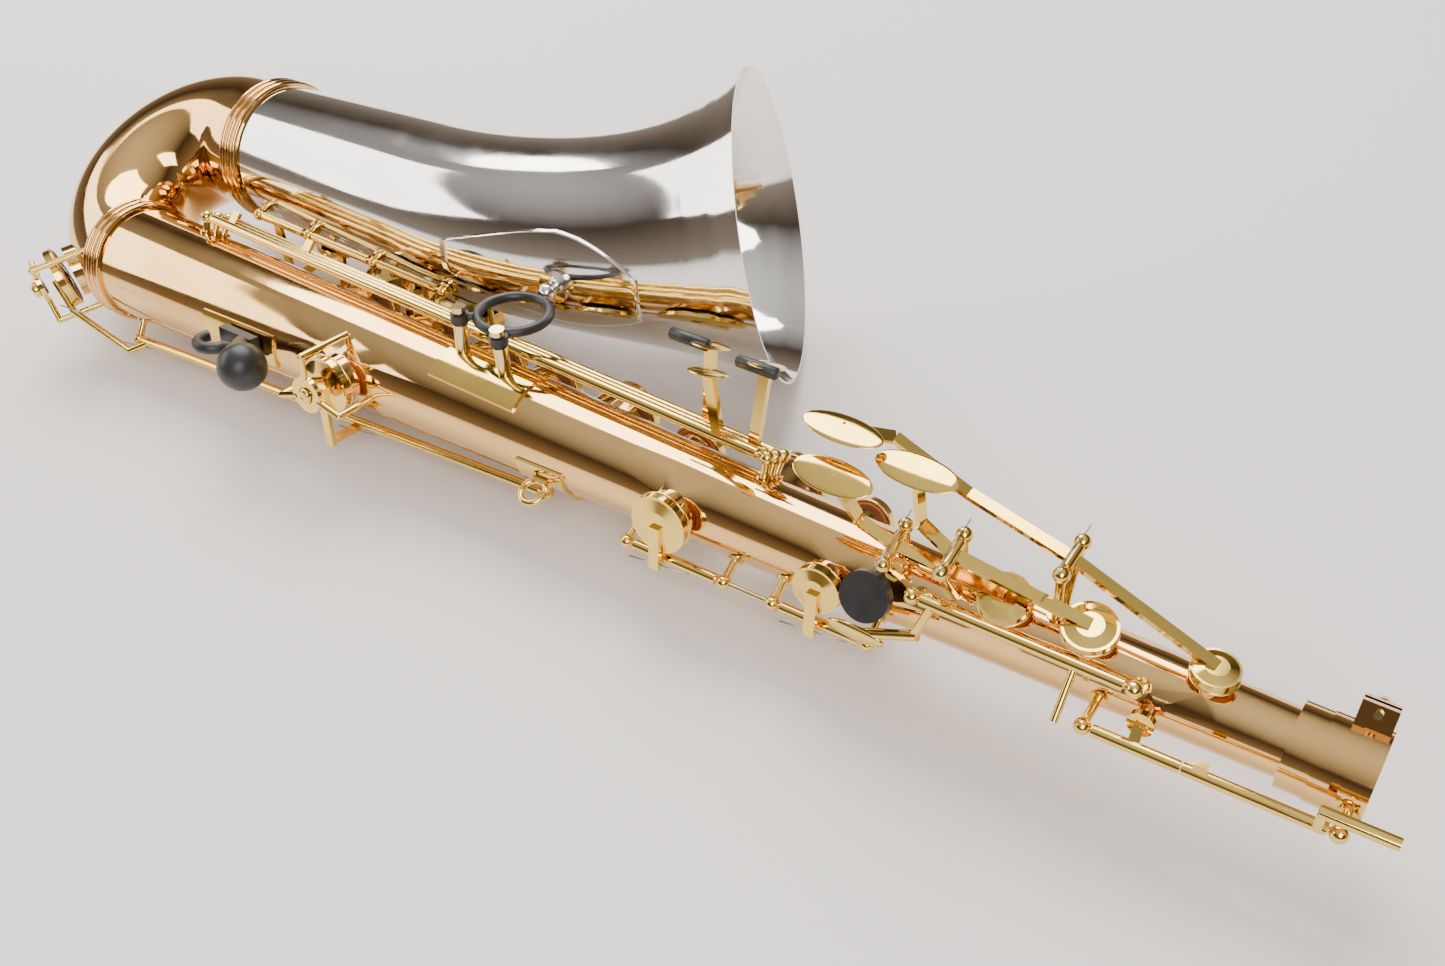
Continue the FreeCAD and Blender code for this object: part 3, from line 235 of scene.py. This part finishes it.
def placePiece(name, mesh, matrix, material, body):
    bmesh.ops.recalc_face_normals(mesh, faces=mesh.faces)
    mesh.transform(matrix)
    data = bpy.data.meshes.new(name)
    mesh.to_mesh(data)
    mesh.free()
    for face in data.polygons:
        face.use_smooth = True
    data.materials.append(material)
    piece = bpy.data.objects.new(name, data)
    bpy.context.scene.collection.objects.link(piece)
    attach(piece, body)
    return piece


def spun(outline, steps=40):
    mesh = bmesh.new()
    corners = [mesh.verts.new((radius / 1000, 0, height / 1000)) for radius, height in outline]
    edges = [mesh.edges.new(pair) for pair in zip(corners, corners[1:])]
    bmesh.ops.spin(mesh, geom=corners + edges, cent=(0, 0, 0), axis=(0, 0, 1),
                   angle=2 * math.pi, steps=steps, use_merge=True)
    bmesh.ops.remove_doubles(mesh, verts=mesh.verts, dist=1e-6)
    return mesh


def wireRing(radius, wire, steps=56):
    mesh = bmesh.new()
    circle = bmesh.ops.create_circle(mesh, segments=10, radius=wire / 1000)
    bmesh.ops.rotate(mesh, verts=circle["verts"], cent=(0, 0, 0), matrix=Matrix.Rotation(math.pi / 2, 3, "X"))
    bmesh.ops.translate(mesh, verts=circle["verts"], vec=(radius / 1000, 0, 0))
    bmesh.ops.spin(mesh, geom=mesh.verts[:] + mesh.edges[:], cent=(0, 0, 0), axis=(0, 0, 1),
                   angle=2 * math.pi, steps=steps, use_merge=True)
    bmesh.ops.remove_doubles(mesh, verts=mesh.verts, dist=1e-6)
    return mesh


def join(pieceMeshes):
    whole = bmesh.new()
    for part in pieceMeshes:
        data = bpy.data.meshes.new("join")
        part.to_mesh(data)
        part.free()
        whole.from_mesh(data)
        bpy.data.meshes.remove(data)
    return whole


def discLine(node, axisPoint):
    points = np.array([vertex.co for vertex in frame["nodes"][node].data.vertices])
    low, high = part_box(node)
    centre = Vector((low + high) / 2)
    spread = np.linalg.svd(points - points.mean(0), full_matrices=False)[2]
    normal = Vector(spread[2])
    if normal.dot(centre - axisPoint) < 0:
        normal.negate()
    reach = max((Vector(point) - centre - normal * (Vector(point) - centre).dot(normal)).length
                for point in points[::3])
    thick = max(abs((Vector(point) - centre).dot(normal)) for point in points[::3])
    return centre, normal, reach * 1000, thick * 1000


footOfBody = onHorn(0, 0, 0)
upBody = (onHorn(1000, 0, 0) - footOfBody).normalized()
bowMiddle = onHorn(0, 47.75, 0)


def nearAxis(node):
    low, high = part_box(node)
    middle = (low + high) / 2
    if node.startswith("low_c_pad"):
        return bowMiddle
    return footOfBody + upBody * (middle - footOfBody).dot(upBody)


cupDressing = {"lip": 0.55, "lipOut": 0.7, "bead": 0.9, "dome": 0.46, "rivet": 1.5}
for name in sorted(frame["nodes"]):
    if not name.endswith("_pad"):
        continue
    body = name.replace("_pad", "_key") + "_body"
    if body not in frame["bodies"]:
        body = name.replace("_pad", "") + "_body"
    centre, normal, reach, thick = discLine(name, nearAxis(name))
    place = Matrix.Translation(centre) @ turnTo(normal)
    lip = wireRing(reach + cupDressing["lipOut"], cupDressing["lip"])
    lip.transform(Matrix.Translation((0, 0, (0.5 - thick) / 1000)))
    placePiece(name[:-4] + "_cup_lip", lip, place, metals["keyBrass"], body)
    bead = wireRing(reach - 1.1, cupDressing["bead"])
    bead.transform(Matrix.Translation((0, 0, (0.35 - thick) / 1000)))
    placePiece(name[:-4] + "_leather_bead", bead, place, padLeather, body)
    dome = reach * cupDressing["dome"]
    resonator = spun([(0, -thick - 1.1), (cupDressing["rivet"], -thick - 1.0),
                      (cupDressing["rivet"] + 0.3, -thick - 0.7), (dome * 0.7, -thick - 0.55),
                      (dome, -thick + 0.1), (dome, -thick + 0.5), (0, -thick + 0.5)])
    placePiece(name[:-4] + "_resonator", resonator, place, metals["rodSteel"], body)
print("cups dressed")

# the bell's skin, welded into one sheet so that the light runs along it unbroken
bellSkin = {"weld": 0.00002, "crease": 38.0}
skin = bmesh.new()
skin.from_mesh(frame["nodes"]["bell"].data)
bmesh.ops.remove_doubles(skin, verts=skin.verts, dist=bellSkin["weld"])
skinData = bpy.data.meshes.new("silver_bell")
skin.to_mesh(skinData)
skin.free()
if "custom_normal" in skinData.attributes:
    skinData.attributes.remove(skinData.attributes["custom_normal"])
for face in skinData.polygons:
    face.use_smooth = True
skinData.set_sharp_from_angle(angle=math.radians(bellSkin["crease"]))
skinData.materials.clear()
skinData.materials.append(metals["silverPlate"])
silverBell = bpy.data.objects.new("silver_bell", skinData)
bpy.context.scene.collection.objects.link(silverBell)
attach(silverBell, "instrument")
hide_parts("bell")
bpy.context.view_layer.update()

# thin flange plate that stiffens the bell where the brace meets it
flange = {"ahead": 46.0, "behind": 70.0, "half": 30.0, "thick": 0.9, "lift": 0.35}
bell = silverBell
footLow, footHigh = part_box("bell_brace_foot")
footMiddle = (footLow + footHigh) / 2
found, surface, surfaceNormal, _ = bell.closest_point_on_mesh(footMiddle)
acrossBell = surfaceNormal.cross(upBody).normalized()
alongBell = acrossBell.cross(surfaceNormal).normalized()
plate = bmesh.new()
bmesh.ops.create_grid(plate, x_segments=28, y_segments=20, size=1.0)
for vertex in plate.verts:
    u, v = vertex.co.x, vertex.co.y
    along = u * (flange["ahead"] if u > 0 else flange["behind"]) / 1000
    narrow = (1 - 0.62 * abs(u) ** 1.7) * (1 if u > 0 else 1 - 0.28 * abs(u))
    across = v * flange["half"] * narrow / 1000
    spot = surface + alongBell * along + acrossBell * across
    _, hit, outwards, _ = bell.closest_point_on_mesh(spot)
    vertex.co = hit + outwards * (flange["lift"] / 1000)
bmesh.ops.solidify(plate, geom=plate.faces[:], thickness=-flange["thick"] / 1000)
placePiece("bell_flange_plate", plate, Matrix.Identity(4), metals["silverPlate"], "instrument")

# felt bumpers and their slotted screws in the open guards
bumpers = {"low_c_pad": (14.5, 3.4), "low_eb_pad": (12.6, 1.2)}
for name, (rise, feltDepth) in bumpers.items():
    centre, normal, reach, thick = discLine(name, nearAxis(name))
    width = reach * 0.27
    place = Matrix.Translation(centre) @ turnTo(normal)
    felt = spun([(0, rise - feltDepth), (width - 0.5, rise - feltDepth), (width, rise - feltDepth + 0.5),
                 (width, rise), (0, rise)])
    placePiece(name[:-4] + "_bumper", felt, place, cork, "instrument")
    screw = spun([(0, rise), (width * 0.96, rise), (width, rise + 0.5), (width, rise + 2.8),
                  (width - 0.7, rise + 3.5), (0.8, rise + 3.5), (0.8, rise + 2.7), (0, rise + 2.7)])
    placePiece(name[:-4] + "_guard_screw", screw, place, metals["keyBrass"], "instrument")

# blued needle springs that run beside the hinge rods
needle = {"length": 30.0, "thick": 0.42, "thin": 0.22, "beside": 4.2, "lean": 0.09}
for joint in frame["joints"]:
    if not joint["name"].endswith("_key_hinge"):
        continue
    axis = Vector(joint["axis"]).normalized()
    start = Vector(joint["pos_m"])
    nearest = footOfBody + upBody * (start - footOfBody).dot(upBody)
    inwards = (nearest - start).normalized()
    wire = bmesh.new()
    bmesh.ops.create_cone(wire, cap_ends=True, segments=8, radius1=needle["thick"] / 1000,
                          radius2=needle["thin"] / 1000, depth=needle["length"] / 1000)
    direction = (axis + inwards * needle["lean"]).normalized()
    place = Matrix.Translation(start - inwards * needle["beside"] / 1000) @ turnTo(direction)
    placePiece(joint["name"].replace("_hinge", "_spring"), wire, place, metals["blueSteel"],
               "instrument")

# black rollers on the little finger table
roller = {"radius": 2.7, "length": 20.0}
rollerSpots = {"low_b_lever": (402.0, 41.0, 51.5), "low_bb_lever": (366.0, 43.5, 50.0)}
for name, spot in rollerSpots.items():
    half = roller["length"] / 2
    tube = spun([(0, -half), (roller["radius"] - 0.8, -half), (roller["radius"], -half + 0.8),
                 (roller["radius"], half - 0.8), (roller["radius"] - 0.8, half), (0, half)])
    placePiece(name + "_roller", tube, Matrix.Translation(onHorn(*spot)) @ turnTo(upBody),
               blackNylon, name + "_body")
print("springs, guards and rollers made")

# ---- studio

floorLook, nodes, links, shader = startMaterial("paleBacking")
coords = nodes.new("ShaderNodeTexCoord")
links.new(cloudyColour(nodes, links, coords, 1.2, 2, ((0.84, 0.80, 0.775), (0.88, 0.845, 0.82)))
          .outputs["Color"], shader.inputs["Base Color"])
shader.inputs["Roughness"].default_value = 0.85
finishBump(nodes, links, coords, shader, 3, 0.25, 0.01)
backing = bmesh.new()
bmesh.ops.create_grid(backing, x_segments=4, y_segments=4, size=4.0)
backing.transform(Matrix.Translation((0, 0, cadLow[2] - 0.0003)))
backingData = bpy.data.meshes.new("backing")
backing.to_mesh(backingData)
backing.free()
backingData.materials.append(floorLook)
backingSheet = bpy.data.objects.new("backing", backingData)
bpy.context.scene.collection.objects.link(backingSheet)


def softBox(name, place, aim, width, height, power, tint):
    data = bpy.data.lights.new(name, "AREA")
    data.shape = "RECTANGLE"
    data.size = width
    data.size_y = height
    data.energy = power
    data.color = tint
    lamp = bpy.data.objects.new(name, data)
    bpy.context.scene.collection.objects.link(lamp)
    lamp.matrix_world = (Matrix.Translation(place)
                         @ turnTo(Vector(place) - Vector(aim)))


softBox("overheadBox", (-0.7, 0.9, 1.5), (0, 0, 0), 1.8, 1.2, 58, (1.0, 0.97, 0.94))
softBox("sideBox", (0.9, -1.1, 1.2), (0, 0, 0), 0.9, 1.2, 24, (1.0, 0.98, 0.96))
softBox("farBox", (-1.6, -0.6, 0.9), (0, 0, 0), 0.7, 1.4, 14, (1.0, 0.95, 0.90))

studio = bpy.data.worlds.new("studioRoom")
studio.use_nodes = True
bpy.context.scene.world = studio
nodes, links = studio.node_tree.nodes, studio.node_tree.links
coords = nodes.new("ShaderNodeTexCoord")
split = nodes.new("ShaderNodeSeparateXYZ")
links.new(coords.outputs["Generated"], split.inputs["Vector"])
sky = nodes.new("ShaderNodeValToRGB")
sky.color_ramp.elements[0].position = 0.0
sky.color_ramp.elements[0].color = (0.30, 0.24, 0.19, 1)
sky.color_ramp.elements[1].position = 1.0
sky.color_ramp.elements[1].color = (0.95, 0.92, 0.90, 1)
middle = sky.color_ramp.elements.new(0.45)
middle.color = (0.07, 0.052, 0.038, 1)
links.new(split.outputs["Z"], sky.inputs["Fac"])
background = nodes["Background"]
links.new(sky.outputs["Color"], background.inputs["Color"])
background.inputs["Strength"].default_value = 1.0
paleWall = nodes.new("ShaderNodeBackground")  # what stands behind the floor in a low view
paleWall.inputs["Color"].default_value = (0.80, 0.775, 0.75, 1)
seen = nodes.new("ShaderNodeLightPath")
mixed = nodes.new("ShaderNodeMixShader")
links.new(seen.outputs["Is Camera Ray"], mixed.inputs["Fac"])
links.new(background.outputs["Background"], mixed.inputs[1])
links.new(paleWall.outputs["Background"], mixed.inputs[2])
links.new(mixed.outputs["Shader"], nodes["World Output"].inputs["Surface"])
print("studio lit")
